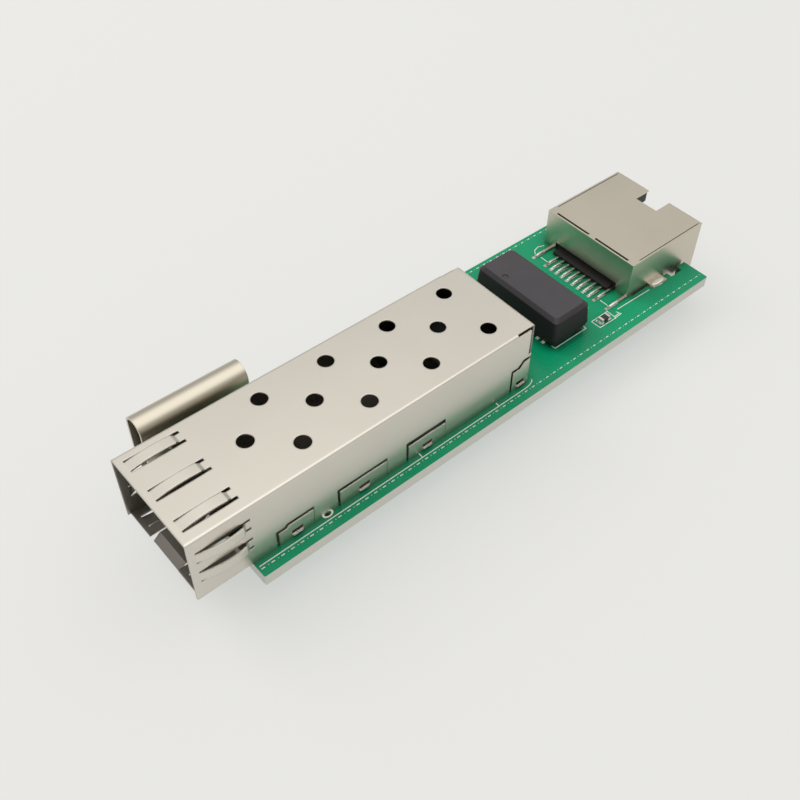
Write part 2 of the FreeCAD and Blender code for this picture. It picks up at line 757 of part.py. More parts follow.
# Power socket: shell with four legs, insulator with its tongue, and the contacts.
power_shell = new_body("power_shell")
ring = sketch_on(power_shell, "YZ_Plane", power_front)
obround(ring, 0)
obround(ring, power_sheet)
pad(power_shell, ring, "Sizes.power_length")
for side in (-1, 1):
    outer_y = power_centre + side * leg_line + power_sheet / 2
    legs = sketch_on(power_shell, "XZ_Plane", -outer_y)
    for leg in power_legs:
        rectangle(legs, leg - leg_width / 2, -board_thickness - 0.8, leg + leg_width / 2, power_thick)
    pad(power_shell, legs, "Sizes.power_sheet")

power_insulator = new_body("power_insulator")
plug = sketch_on(power_insulator, "YZ_Plane", power_front + power_depth)
obround(plug, power_sheet)
pad(power_insulator, plug, "Sizes.power_length - Sizes.power_depth")
tongue = sketch_on(power_insulator, "YZ_Plane", power_front + power_recess)
tongue_reach = 3.3
power_middle = power_tall / 2
rectangle(
    tongue, power_centre - power_tongue / 2, power_middle - tongue_reach,
    power_centre + power_tongue / 2, power_middle + tongue_reach
)
pad(power_insulator, tongue, "Sizes.power_depth - Sizes.power_recess")
pads = []
for side in (-1, 1):
    for centre in row(8, 0.75):
        level = power_middle + centre
        face_y = power_centre + side * power_tongue / 2
        near = min(face_y, face_y + side * 0.1)
        pads.append(block(
            power_front + power_recess + 0.6, power_front + power_depth, near, near + 0.1, level - 0.15, level + 0.15
        ))
solid_node("power_contacts", Part.makeCompound(pads))


def chip(label, centre_x, centre_y, length, width, height, lift, side):
    """Plain moulded body on the top (side 1) or the underside (side -1) of the board."""
    face = 0 if side > 0 else -board_thickness
    low = min(face + side * lift, face + side * (lift + height))
    shape = block(
        centre_x - length / 2, centre_x + length / 2, centre_y - width / 2, centre_y + width / 2, low, low + height
    )
    return solid_node(label, shape)


# Ferrite bead beside the transformer, with its two metal ends.
bead_x = transformer_front + transformer_width + 3.0
bead_y = board_right + 3.55
bead_end = bead_length * 0.22
core_half = bead_length / 2 - bead_end
chip("ferrite_bead", bead_x, bead_y, 2 * core_half, bead_width * 0.95, bead_height * 0.95, 0, 1)
ends = []
for side in (-1, 1):
    end_x = bead_x + side * (core_half + bead_end / 2)
    ends.append(block(
        end_x - bead_end / 2, end_x + bead_end / 2, bead_y - bead_width / 2, bead_y + bead_width / 2, 0, bead_height
    ))
solid_node("bead_terminals", Part.makeCompound(ends))

# Electronics under the board: converter, memory, crystal and the supply's parts.
under = -board_thickness
converter_x = transformer_front - 6.0
converter_y = 2.1
memory_x = transformer_front - 15.5
memory_y = 3.6
supply_y = power_centre - power_edge_gap
regulator_x = board_front + power_length + 3.2
chip("converter_chip", converter_x, converter_y, converter_side, converter_side, converter_height, 0, -1)
chip("crystal", transformer_middle, 5.6, crystal_length, crystal_width, crystal_height, 0, -1)
chip("memory_chip", memory_x, memory_y, memory_length, memory_width, memory_height, 0.15, -1)
chip("regulator", regulator_x, supply_y, regulator_length, regulator_width, regulator_height, 0.1, -1)
chip("inductor", regulator_x + 5.5, supply_y, inductor_side, inductor_side, inductor_height, 0, -1)
chip(
    "supply_capacitor_a", regulator_x - 4.0, supply_y + 0.8, supply_length, supply_width, supply_height, 0, -1
)
chip(
    "supply_capacitor_b", regulator_x + 11.0, supply_y + 0.4, supply_length, supply_width, supply_height, 0, -1
)


def lead_set(label, centre_x, centre_y, half_span, reach, lift, places, width):
    """Leads out of both long sides of a chip under the board, each with a foot on it."""
    sheet_lead = 0.15
    pieces = []
    for side in (-1, 1):
        near = centre_y + side * half_span
        far = near + side * reach
        knee = near + side * 0.25
        inner = knee - side * sheet_lead
        level = under - lift - 0.6
        for place in places:
            points = [
                (near, level + sheet_lead), (near, level), (knee, level), (knee, under - sheet_lead),
                (far, under - sheet_lead), (far, under), (inner, under), (inner, level + sheet_lead),
            ]
            corners = [Vector(centre_x + place - width / 2, y, z) for y, z in points]
            face = Part.Face(Part.makePolygon(corners + [corners[0]]))
            pieces.append(face.extrude(Vector(width, 0, 0)))
    return solid_node(label, Part.makeCompound(pieces))


lead_set("memory_leads", memory_x, memory_y, memory_width / 2, 1.05, 0.15, row(4, 1.27), 0.4)
lead_set("regulator_leads", regulator_x, supply_y, regulator_width / 2, 0.65, 0.1, row(3, 0.95), 0.4)

# Decoupling parts in two rows beside the converter chip.
bodies = []
ends = []
half_body = passive_length / 4
for side in (-1, 1):
    line_y = converter_y + side * (converter_side / 2 + 0.9)
    for place in row(5, passive_pitch):
        middle_x = converter_x + place
        low_z = under - passive_width
        body_half = passive_width * 0.48
        bodies.append(block(
            middle_x - half_body, middle_x + half_body, line_y - body_half, line_y + body_half, low_z, under
        ))
        for end in (-1, 1):
            near = middle_x + end * half_body
            far = middle_x + end * passive_length / 2
            ends.append(block(
                min(near, far), max(near, far), line_y - passive_width / 2, line_y + passive_width / 2,
                low_z, under
            ))
solid_node("decoupling_capacitors", Part.makeCompound(bodies))
solid_node("decoupling_terminals", Part.makeCompound(ends))

doc.recompute()
for item in doc.Objects:
    state = [word for word in item.State if word in ("Invalid", "Error")]
    if state:
        print("state", item.Name, item.Label, item.State)
nodes = [
    item for item in doc.Objects
    if item.TypeId == "PartDesign::Body" or item.TypeId == "Part::Feature"
]
for node in nodes:
    shape = node.Shape
    if shape.isNull() or not shape.isValid():
        raise RuntimeError("%s has no valid shape" % node.Label)
    shape.exportStep("parts/%s.step" % node.Label)
    print(node.Label, round(shape.Volume, 2), len(shape.Solids))
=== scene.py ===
import bpy
import bmesh
import math
from mathutils import Matrix, Vector


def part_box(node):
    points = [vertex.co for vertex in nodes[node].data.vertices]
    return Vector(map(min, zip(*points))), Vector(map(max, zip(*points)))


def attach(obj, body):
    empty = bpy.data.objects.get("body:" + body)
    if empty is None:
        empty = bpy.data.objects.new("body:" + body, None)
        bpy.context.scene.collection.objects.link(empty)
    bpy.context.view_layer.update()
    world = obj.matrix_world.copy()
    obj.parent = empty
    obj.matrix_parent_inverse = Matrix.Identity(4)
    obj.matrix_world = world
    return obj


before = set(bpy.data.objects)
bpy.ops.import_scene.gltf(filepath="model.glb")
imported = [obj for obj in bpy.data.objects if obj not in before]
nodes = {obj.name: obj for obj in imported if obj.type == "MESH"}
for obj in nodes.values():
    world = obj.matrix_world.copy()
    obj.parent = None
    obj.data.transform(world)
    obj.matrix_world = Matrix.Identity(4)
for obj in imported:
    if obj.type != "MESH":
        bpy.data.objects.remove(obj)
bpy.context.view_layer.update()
MM = 0.001


# Camera. It stands to the right of the cage's mouth and looks down along the board,
# where the photograph was taken from. Place, turn, lens and shift come from the cage's,
# board's and jack's corners in the photograph.
camera = bpy.data.objects.new("camera", bpy.data.cameras.new("camera"))
bpy.context.scene.collection.objects.link(camera)
camera.location = Vector((-62.821, -64.333, 98.369)) * MM
camera.rotation_euler = [math.radians(turn) for turn in (43.958, -2.839, -42.433)]
camera.data.sensor_width = 36
camera.data.lens = 45.1
camera.data.shift_x = -0.0727
camera.data.shift_y = -0.0441
camera.data.clip_start = 0.005
camera.data.clip_end = 10
bpy.context.scene.camera = camera


# Table. The board lies on a pale sheet that glows a little of its own. This is a painted glow and
# no lamp, so the shadow on the sheet stays faint.
def linear(hex_code):
    """An sRGB hex colour as the linear colour that a shader takes."""
    channels = [int(hex_code[place:place + 2], 16) / 255 for place in (1, 3, 5)]
    curved = [c / 12.92 if c <= 0.04045 else ((c + 0.055) / 1.055) ** 2.4 for c in channels]
    return (*curved, 1.0)


def new_material(name):
    """A new node material, with its tree and its shader."""
    material = bpy.data.materials.new(name)
    material.use_nodes = True
    tree = material.node_tree
    return material, tree, tree.nodes["Principled BSDF"]


table_half = 1.5
table_gap = 0.05 * MM
glowing_table, tree, shader = new_material("table_with_painted_glow")
shader.inputs["Base Color"].default_value = linear("#8B8B8A")
# Painted glow: the table's own emission fades the shadow on it.
shader.inputs["Emission Color"].default_value = linear("#F3F3F1")
shader.inputs["Emission Strength"].default_value = 0.56
shader.inputs["Roughness"].default_value = 0.9
shader.inputs["Specular IOR Level"].default_value = 0.1
mesh = bpy.data.meshes.new("table")
table_bm = bmesh.new()
bmesh.ops.create_grid(table_bm, x_segments=1, y_segments=1, size=table_half)
table_bm.to_mesh(mesh)
table_bm.free()
table = bpy.data.objects.new("table", mesh)
bpy.context.scene.collection.objects.link(table)
table.location.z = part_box("jack_shield")[0].z - table_gap
table.data.materials.append(glowing_table)


# Room. Pale walls light the board evenly, and metal mirrors them darker towards the horizon
# and brighter overhead.
def add_node(tree, kind, settings=(), **links):
    """One shader node: its settings by name, its inputs as values or other nodes' outputs."""
    node = tree.nodes.new(kind)
    for name, value in dict(settings).items():
        setattr(node, name, value)
    for name, value in links.items():
        numbered = name[0] == "i" and name[1:].isdigit()
        socket = node.inputs[int(name[1:]) if numbered else name.replace("_", " ")]
        if isinstance(value, bpy.types.NodeSocket):
            tree.links.new(value, socket)
        else:
            socket.default_value = value
    return node


world = bpy.data.worlds.new("pale_room")
bpy.context.scene.world = world
world.use_nodes = True
tree = world.node_tree
ray = add_node(tree, "ShaderNodeTexCoord")
height = add_node(tree, "ShaderNodeSeparateXYZ", i0=ray.outputs["Generated"])
path = add_node(tree, "ShaderNodeLightPath")
mirrored = add_node(
    tree, "ShaderNodeMapRange", Value=height.outputs["Z"],
    From_Min=0.5, From_Max=0.8, To_Min=0.58, To_Max=1.12
)
strength = add_node(
    tree, "ShaderNodeMix", {"data_type": "FLOAT"},
    i0=path.outputs["Is Glossy Ray"], i2=0.86, i3=mirrored.outputs[0]
)
sky = tree.nodes["Background"]
sky.inputs["Color"].default_value = linear("#F5F4F1")
tree.links.new(strength.outputs[0], sky.inputs["Strength"])


# Lamps. A large window on the left gives the shadow, and a broad ceiling lamp the sheen on
# the metal. The window isn't mirrored, so it leaves no square patch there.
def hang_lamp(name, place, width, power):
    """A square soft lamp at a place, in metres, turned to the board."""
    light = bpy.data.lights.new(name, "AREA")
    light.shape = "SQUARE"
    light.size = width
    light.energy = power
    light.color = linear("#FFFCF7")[:3]
    lamp = bpy.data.objects.new(name, light)
    bpy.context.scene.collection.objects.link(lamp)
    lamp.location = place
    lamp.rotation_euler = (-Vector(place)).to_track_quat("-Z", "Y").to_euler()
    return lamp


window = hang_lamp("window", (-0.25, 0.45, 0.55), width=0.5, power=2.3)
window.visible_glossy = False
hang_lamp("ceiling", (0.2, -0.15, 0.9), width=1.15, power=2.2)


# Circuit board. Glass-fibre laminate, copper clad and etched, under a glossy green mask:
# the routed edges show the pale laminate. Copper pours show through the mask as patches.
def wear(material, *names):
    """Put one material on whole CAD nodes."""
    for name in names:
        nodes[name].data.materials.clear()
        nodes[name].data.materials.append(material)


board_low, board_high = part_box("circuit_board")
top = board_high.z
under = board_low.z
mask_edge = 0.01 * MM
rim = 0.2 * MM
mask, tree, shader = new_material("green_solder_mask_on_laminate")
place = add_node(tree, "ShaderNodeTexCoord")
axes = add_node(tree, "ShaderNodeSeparateXYZ", i0=place.outputs["Object"])
above = add_node(
    tree, "ShaderNodeMath", {"operation": "GREATER_THAN"}, i0=axes.outputs["Z"], i1=top - mask_edge
)
below = add_node(
    tree, "ShaderNodeMath", {"operation": "LESS_THAN"}, i0=axes.outputs["Z"], i1=under + mask_edge
)
masked = add_node(
    tree, "ShaderNodeMath", {"operation": "MAXIMUM"}, i0=above.outputs[0], i1=below.outputs[0]
)
# Scales are repeats per metre, here and below: a pour's patches are about 7 mm wide.
pour = add_node(
    tree, "ShaderNodeTexNoise", Vector=place.outputs["Object"], Scale=140.0, Detail=3.0, Roughness=0.5
)
green = add_node(
    tree, "ShaderNodeMix", {"data_type": "RGBA"},
    i0=pour.outputs["Fac"], i6=linear("#02835A"), i7=linear("#05996B")
)
# Layers of glass cloth in the cut edge, 0.35 mm apart: coarser than real, so that they show.
layers = add_node(
    tree, "ShaderNodeTexWave", {"bands_direction": "Z"},
    Vector=place.outputs["Object"], Scale=900.0, Distortion=1.5
)
edge = add_node(
    tree, "ShaderNodeMix", {"data_type": "RGBA"},
    i0=layers.outputs["Fac"], i6=linear("#BFBEB6"), i7=linear("#CCCBC4")
)
# The outer rim is routed last and stays bare. The walls of slots and holes inside it are painted
# dark green: painted shade in these recesses.
far_sides = []
for axis, low, high in (("X", board_low.x, board_high.x), ("Y", board_low.y, board_high.y)):
    off = add_node(
        tree, "ShaderNodeMath", {"operation": "SUBTRACT"}, i0=axes.outputs[axis], i1=(low + high) / 2
    )
    far = add_node(tree, "ShaderNodeMath", {"operation": "ABSOLUTE"}, i0=off.outputs[0])
    far_sides.append(add_node(
        tree, "ShaderNodeMath", {"operation": "GREATER_THAN"}, i0=far.outputs[0], i1=(high - low) / 2 - rim
    ))
outer = add_node(
    tree, "ShaderNodeMath", {"operation": "MAXIMUM"},
    i0=far_sides[0].outputs[0], i1=far_sides[1].outputs[0]
)
# Painted shade: walls inside the rim take the dark green, the outer rim the laminate.
edge_or_painted_shade = add_node(
    tree, "ShaderNodeMix", {"data_type": "RGBA"},
    i0=outer.outputs[0], i6=linear("#1F5A40"), i7=edge.outputs[2]
)
# Painted shade: the green darkens within about 1.6 mm of what stands on the board.
contact_ao = add_node(tree, "ShaderNodeAmbientOcclusion", {"samples": 8}, Distance=1.6 * MM)
open_part = add_node(
    tree, "ShaderNodeMapRange", Value=contact_ao.outputs["AO"], From_Min=0.35, From_Max=0.95
)
# Painted shade, from ambient occlusion: darker green where the board is hemmed in.
green_with_painted_shade = add_node(
    tree, "ShaderNodeMix", {"data_type": "RGBA"},
    i0=open_part.outputs[0], i6=linear("#024A30"), i7=green.outputs[2]
)
surface = add_node(
    tree, "ShaderNodeMix", {"data_type": "RGBA"},
    i0=masked.outputs[0], i6=edge_or_painted_shade.outputs[2], i7=green_with_painted_shade.outputs[2]
)
tree.links.new(surface.outputs[2], shader.inputs["Base Color"])
shine = add_node(tree, "ShaderNodeMapRange", Value=masked.outputs[0], To_Min=0.75, To_Max=0.3)
shader.inputs["Specular IOR Level"].default_value = 0.28
tree.links.new(shine.outputs[0], shader.inputs["Roughness"])
ripple = add_node(
    tree, "ShaderNodeBump", Strength=0.06, Distance=0.05 * MM, Height=pour.outputs["Fac"]
)
tree.links.new(ripple.outputs[0], shader.inputs["Normal"])
wear(mask, "circuit_board")


# Copper tracks. Etched copper under the mask on both faces of the board, so each track is a
# slightly raised and lighter green line. Places are millimetres from the middle of the
# cage's mouth, and heights from the board's top.
tray_low, tray_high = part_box("cage_tray")
cover_low, cover_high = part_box("cage_cover")
mouth_x = cover_low.x
mouth_y = (tray_low.y + tray_high.y) / 2
cage_length = (cover_high.x - cover_low.x) / MM
under_depth = (under - top) / MM


def spot(x, y, z=0.0):
    """A place in millimetres on the board's top, in the frame's metres."""
    return Vector((mouth_x + x * MM, mouth_y + y * MM, top + z * MM))


def node_box(name):
    """A node's lowest and highest corners, in millimetres on the board's top."""
    low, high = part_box(name)
    return [(corner - spot(0, 0)) / MM for corner in (low, high)]


def add_piece(name, surface, build):
    """One new piece: its mesh is drawn by build(bm) in the frame, and it rides on the board."""
    bm = bmesh.new()
    build(bm)
    bmesh.ops.recalc_face_normals(bm, faces=bm.faces)
    mesh = bpy.data.meshes.new(name)
    bm.to_mesh(mesh)
    bm.free()
    piece = bpy.data.objects.new(name, mesh)
    bpy.context.scene.collection.objects.link(piece)
    piece.data.materials.append(surface)
    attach(piece, "root")
    return piece


def add_line(bm, points, width, base, height):
    """A printed or etched line through places on the board, mitred at its corners."""
    places = [spot(x, y, base) for x, y in points]
    rungs = []
    for index, here in enumerate(places):
        before = (here - places[index - 1]).normalized() if index else None
        after = (places[index + 1] - here).normalized() if index + 1 < len(places) else None
        along = ((before or after) + (after or before)).normalized()
        across = Vector((-along.y, along.x, 0))
        reach = 0.5 * width * MM / max(0.5, along.dot(after or before))
        rungs.append([bm.verts.new(here + across * side) for side in (reach, -reach)])
    ribbon = [bm.faces.new((*first, *reversed(last))) for first, last in zip(rungs, rungs[1:])]
    raised = bmesh.ops.extrude_face_region(bm, geom=ribbon)["geom"]
    corners = [item for item in raised if isinstance(item, bmesh.types.BMVert)]
    bmesh.ops.translate(bm, verts=corners, vec=(0, 0, height * MM))


track_height = 0.015
tail_count = 8
tail_pitch = 1.03
pair_width = 0.2
pair_first = 5.9
pair_spread = 1.06
pair_bends = (62.2, 63.4, 64.4, 66.2)
signal_width = 0.18
signal_first = -6.3
signal_pitch = 0.5
signal_start = (51.2, -3.6)
signal_end = 62.2
signal_step = 0.4
supply_width = 0.3
supply_lines = (10.0, 10.7, 11.6)
supply_run = (21.5, 55.0)


def draw_top_tracks(bm):
    """Pairs from the transformer to the jack, three signals and three supply tracks."""
    start, bend, narrow, end = pair_bends
    for step in range(tail_count):
        y = pair_first - tail_pitch * step
        spread = y * pair_spread
        line = [(start, spread), (bend, spread), (narrow, y), (end, y)]
        add_line(bm, line, pair_width, 0, track_height)
    first_x, first_y = signal_start
    for step in range(3):
        x = first_x + (2 - step) * 0.6
        y = signal_first - step * signal_pitch
        bent = [(x + signal_step, y + signal_step), (x + 2 * signal_step, y)]
        add_line(bm, [(x, first_y), *bent, (signal_end, y)], signal_width, 0, track_height)
    start, end = supply_run
    for y in supply_lines:
        line = [(start, y), (end, y), (end + 1.5, y - 0.4)]
        add_line(bm, line, supply_width, 0, track_height)


coated, tree, shader = new_material("green_mask_over_copper")
place = add_node(tree, "ShaderNodeTexCoord")
cloud = add_node(
    tree, "ShaderNodeTexNoise", Vector=place.outputs["Object"], Scale=200.0, Detail=2.0
)
tone = add_node(
    tree, "ShaderNodeMix", {"data_type": "RGBA"},
    i0=cloud.outputs["Fac"], i6=linear("#058A60"), i7=linear("#0A9A6E")
)
tree.links.new(tone.outputs[2], shader.inputs["Base Color"])
shader.inputs["Roughness"].default_value = 0.3
shader.inputs["Specular IOR Level"].default_value = 0.28
add_piece("top_tracks", coated, draw_top_tracks)

chip_low, chip_high = node_box("converter_chip")
chip_middle = (chip_low + chip_high) / 2
chip_half = (chip_high.x - chip_low.x) / 2
under_track_height = 0.03
fan_count = 6
fan_pitch = 0.8
fan_start = chip_half + 0.4
fan_turn = chip_half + 1.6
fan_turn_pitch = 0.32
fan_front = 24.0
fan_rear = 62.0
bundle_count = 5
bundle_first = 3.5
bundle_pitch = 0.75
bundle_bends = (52.9, 60.5, 61.4, 69.5)


def draw_under_tracks(bm):
    """Fans of tracks under the board, from the converter to the sockets and to the jack."""
    base = under_depth - under_track_height
    for side in (-1, 1):
        for step in range(fan_count):
            offset = (step - (fan_count - 1) / 2) * fan_pitch
            x = chip_middle.x - side * offset
            start_y = chip_middle.y + side * fan_start
            turn_y = chip_middle.y + side * (fan_turn + fan_turn_pitch * step)
            far_x = fan_front + offset if side < 0 else fan_rear - offset
            line = [(x, start_y), (x, turn_y), (far_x, turn_y)]
            add_line(bm, line, signal_width, base, under_track_height)
    start, bend, spread_from, end = bundle_bends
    for step in range(bundle_count):
        y = bundle_first - step * bundle_pitch
        spread = y * 1.1 + 0.4
        line = [(start, y), (bend, y), (spread_from, spread), (end, spread)]
        add_line(bm, line, signal_width, base, under_track_height)


add_piece("under_tracks", coated, draw_under_tracks)


# Printed outlines. White epoxy ink, screen printed 0.02 mm thick and a little worn: lines
# round the cage, transformer, bead and jack.
print_width = 0.12
print_height = 0.02
cage_side = [(7.05, 7.9), (47.2, 7.9), (48.1, 7.8), (48.75, 7.55), (48.97, 7.27)]
outlines = [
    [(x, -y) for x, y in cage_side],
    cage_side,
    [(30.05, -7.82), (30.08, -7.2)],
    [(42.6, -7.82), (42.64, -7.25)],
    [(55.25, -2.7), (55.35, -5.35), (61.3, -5.38), (61.4, -4.6)],
    [(54.35, 9.75), (61.6, 9.75), (61.6, 9.0)],
    [(62.86, -4.98), (62.9, -6.52), (66.01, -6.61), (66.07, -4.98), (62.86, -4.98)],
    [(66.1, -6.55), (67.2, -6.5), (66.95, -5.8)],
    [(66.1, -6.32), (67.1, -6.27)],
    [(67.49, -5.58), (74.05, -5.78)],
    [(67.0, -4.3), (67.0, -2.8)],
    [(67.2, 7.45), (67.2, 8.85)],
    [(69.5, 10.4), (68.5, 10.75), (67.6, 10.5), (67.1, 9.9)],
]


def draw_outlines(bm):
    """Every printed line."""
    for outline in outlines:
        add_line(bm, outline, print_width, 0, print_height)


ink, tree, shader = new_material("white_epoxy_ink")
place = add_node(tree, "ShaderNodeTexCoord")
grain = add_node(
    tree, "ShaderNodeTexNoise", Vector=place.outputs["Object"], Scale=4000.0, Detail=2.0
)
tone = add_node(
    tree, "ShaderNodeMix", {"data_type": "RGBA"},
    i0=grain.outputs["Fac"], i6=linear("#C4D6C8"), i7=linear("#E2EBE2")
)
tree.links.new(tone.outputs[2], shader.inputs["Base Color"])
shader.inputs["Roughness"].default_value = 0.6
add_piece("printed_outlines", ink, draw_outlines)


# Edge dashes. The same ink, screen printed with the outlines, as a dash and a dot in turn
# along both long edges of the board.
dash_lines = (-8.3, 12.9)
dash_start = 7.1
dash_count = 59
dash_pitch = 1.28
dash_length = 0.34
dot_offset = 0.86
dot_length = 0.02
dot_width = print_width * 0.7


def add_bar(bm, start, end, width, base, height):
    """A flat bar between two places on the board, half its width longer at each end."""
    first = spot(*start)
    last = spot(*end)
    run = last - first
    middle = (first + last) / 2 + Vector((0, 0, (base + height / 2) * MM))
    size = (run.length + width * MM, width * MM, height * MM, 1)
    turn = Matrix.Rotation(math.atan2(run.y, run.x), 4, "Z")
    bmesh.ops.create_cube(bm, size=1, matrix=Matrix.Translation(middle) @ turn @ Matrix.Diagonal(size))


def draw_dashes(bm):
    """A dash and a dot in turn, along the right edge and the left edge."""
    for y in dash_lines:
        for step in range(dash_count):
            x = dash_start + step * dash_pitch
            dot = x + dot_offset
            add_bar(bm, (x, y), (x + dash_length, y), print_width, 0, print_height)
            add_bar(bm, (dot, y), (dot + dot_length, y), dot_width, 0, print_height)


add_piece("edge_dashes", ink, draw_dashes)


# Cage. Steel sheet, 0.25 mm, bright tin plated, then punched and folded: it mirrors softly,
# with faint drawing lines along the sheet and sharp punched edges.
inner_half = 7.0 * MM
inner_top = 9.47
inner_floor = 0.12
plate, tree, shader = new_material("bright_tin_plated_steel")
place = add_node(tree, "ShaderNodeTexCoord")
# The drawing lines run along X, each about 8 mm long and 0.7 mm wide.
stretch = add_node(
    tree, "ShaderNodeMapping", Vector=place.outputs["Object"], Scale=(60.0, 700.0, 700.0)
)
grain = add_node(tree, "ShaderNodeTexNoise", Vector=stretch.outputs[0], Scale=2.0, Detail=3.0)
cloud = add_node(
    tree, "ShaderNodeTexNoise", Vector=place.outputs["Object"], Scale=70.0, Detail=2.0
)
tone = add_node(
    tree, "ShaderNodeMix", {"data_type": "RGBA"},
    i0=cloud.outputs["Fac"], i6=linear("#D3CEC4"), i7=linear("#DED9CF")
)
# Painted shade: the faces turned inwards take a darker grey, for the shade inside the cage.
axes = add_node(tree, "ShaderNodeSeparateXYZ", i0=place.outputs["Object"])
away = add_node(
    tree, "ShaderNodeMath", {"operation": "SUBTRACT"}, i0=axes.outputs["Y"], i1=mouth_y
)
apart = add_node(tree, "ShaderNodeMath", {"operation": "ABSOLUTE"}, i0=away.outputs[0])
between = add_node(
    tree, "ShaderNodeMath", {"operation": "LESS_THAN"}, i0=apart.outputs[0], i1=inner_half
)
beneath = add_node(
    tree, "ShaderNodeMath", {"operation": "LESS_THAN"},
    i0=axes.outputs["Z"], i1=top + inner_top * MM
)
above = add_node(
    tree, "ShaderNodeMath", {"operation": "GREATER_THAN"},
    i0=axes.outputs["Z"], i1=top + inner_floor * MM
)
facing = add_node(tree, "ShaderNodeSeparateXYZ", i0=place.outputs["Normal"])
upward = add_node(
    tree, "ShaderNodeMath", {"operation": "GREATER_THAN"}, i0=facing.outputs["Z"], i1=-0.2
)
inner = add_node(
    tree, "ShaderNodeMath", {"operation": "MAXIMUM"}, i0=above.outputs[0], i1=upward.outputs[0]
)
level = add_node(
    tree, "ShaderNodeMath", {"operation": "MULTIPLY"}, i0=beneath.outputs[0], i1=inner.outputs[0]
)
inside = add_node(
    tree, "ShaderNodeMath", {"operation": "MULTIPLY"}, i0=between.outputs[0], i1=level.outputs[0]
)
# Painted shade inside the cage: its inner faces are mixed to the darker grey.
tone_with_painted_shade_inside = add_node(
    tree, "ShaderNodeMix", {"data_type": "RGBA"},
    i0=inside.outputs[0], i6=tone.outputs[2], i7=linear("#96918A")
)
tree.links.new(tone_with_painted_shade_inside.outputs[2], shader.inputs["Base Color"])
shader.inputs["Metallic"].default_value = 1.0
gloss = add_node(
    tree, "ShaderNodeMapRange", Value=grain.outputs["Fac"], To_Min=0.34, To_Max=0.4
)
tree.links.new(gloss.outputs[0], shader.inputs["Roughness"])
corner = add_node(tree, "ShaderNodeBevel", {"samples": 4}, Radius=0.2 * MM)
lines = add_node(
    tree, "ShaderNodeBump", Strength=0.04, Distance=0.02 * MM,
    Height=grain.outputs["Fac"], Normal=corner.outputs[0]
)
tree.links.new(lines.outputs[0], shader.inputs["Normal"])
wear(plate, "cage_cover", "cage_tray")

flap_shares = ((0.205, 0.308), (0.374, 0.52), (0.579, 0.704))
lip_places = [cage_length * (front + rear) / 2 + 0.2 for front, rear in flap_shares]
lip_places.append(cage_length - 1.7)
lip_reach = 0.6
lip_y = 7.2


def draw_window_lips(bm):
    """The lower edge of each flap's small window, curled outwards as a short lip."""
    for x in lip_places:
        for y in (-lip_y, lip_y):
            add_bar(bm, (x - lip_reach, y), (x + lip_reach, y), 0.16, 0.3, 0.1)


add_piece("window_lips", plate, draw_window_lips)


# Shells of the jack and the power socket. Copper alloy sheet, matt nickel plated, so warmer
# and darker than the cage.
shell, tree, shader = new_material("matt_nickel_plated_brass")
place = add_node(tree, "ShaderNodeTexCoord")
cloud = add_node(
    tree, "ShaderNodeTexNoise", Vector=place.outputs["Object"], Scale=110.0, Detail=3.0
)
tone = add_node(
    tree, "ShaderNodeMix", {"data_type": "RGBA"},
    i0=cloud.outputs["Fac"], i6=linear("#C9C2B2"), i7=linear("#D3CCBD")
)
tree.links.new(tone.outputs[2], shader.inputs["Base Color"])
shader.inputs["Metallic"].default_value = 1.0
gloss = add_node(
    tree, "ShaderNodeMapRange", Value=cloud.outputs["Fac"], To_Min=0.32, To_Max=0.38
)
tree.links.new(gloss.outputs[0], shader.inputs["Roughness"])
corner = add_node(tree, "ShaderNodeBevel", {"samples": 4}, Radius=0.08 * MM)
tree.links.new(corner.outputs[0], shader.inputs["Normal"])
wear(shell, "jack_shield", "power_shell")


# Insulators. Glass-filled polyester, moulded black with a fine matt skin that gives a broad
# dull sheen.
insulator, tree, shader = new_material("black_glass_filled_polyester")
shader.inputs["Base Color"].default_value = linear("#1B1A1A")
shader.inputs["Roughness"].default_value = 0.5
place = add_node(tree, "ShaderNodeTexCoord")
skin = add_node(
    tree, "ShaderNodeTexNoise", Vector=place.outputs["Object"], Scale=2500.0, Detail=2.0
)
matt = add_node(
    tree, "ShaderNodeBump", Strength=0.15, Distance=0.02 * MM, Height=skin.outputs["Fac"]
)
tree.links.new(matt.outputs[0], shader.inputs["Normal"])
wear(insulator, "host_connector", "jack_housing", "power_insulator")


# Contacts. Phosphor bronze strip, gold plated where a plug wipes along it and tinned where
# it is soldered, in front of the jack.
tinned_from = 58.0
tinned_to = 70.5
gold, tree, shader = new_material("gold_and_tin_plated_bronze")
place = add_node(tree, "ShaderNodeTexCoord")
axes = add_node(tree, "ShaderNodeSeparateXYZ", i0=place.outputs["Object"])
behind = add_node(
    tree, "ShaderNodeMath", {"operation": "GREATER_THAN"}, i0=axes.outputs["X"], i1=spot(tinned_to, 0).x
)
ahead = add_node(
    tree, "ShaderNodeMath", {"operation": "LESS_THAN"}, i0=axes.outputs["X"], i1=spot(tinned_from, 0).x
)
plated = add_node(
    tree, "ShaderNodeMath", {"operation": "MAXIMUM"}, i0=behind.outputs[0], i1=ahead.outputs[0]
)
tone = add_node(
    tree, "ShaderNodeMix", {"data_type": "RGBA"},
    i0=plated.outputs[0], i6=linear("#A5AAA2"), i7=linear("#E0BE72")
)
tree.links.new(tone.outputs[2], shader.inputs["Base Color"])
shader.inputs["Metallic"].default_value = 1.0
shader.inputs["Roughness"].default_value = 0.25
wear(gold, "host_contacts_lower", "host_contacts_upper", "jack_contacts", "power_contacts")


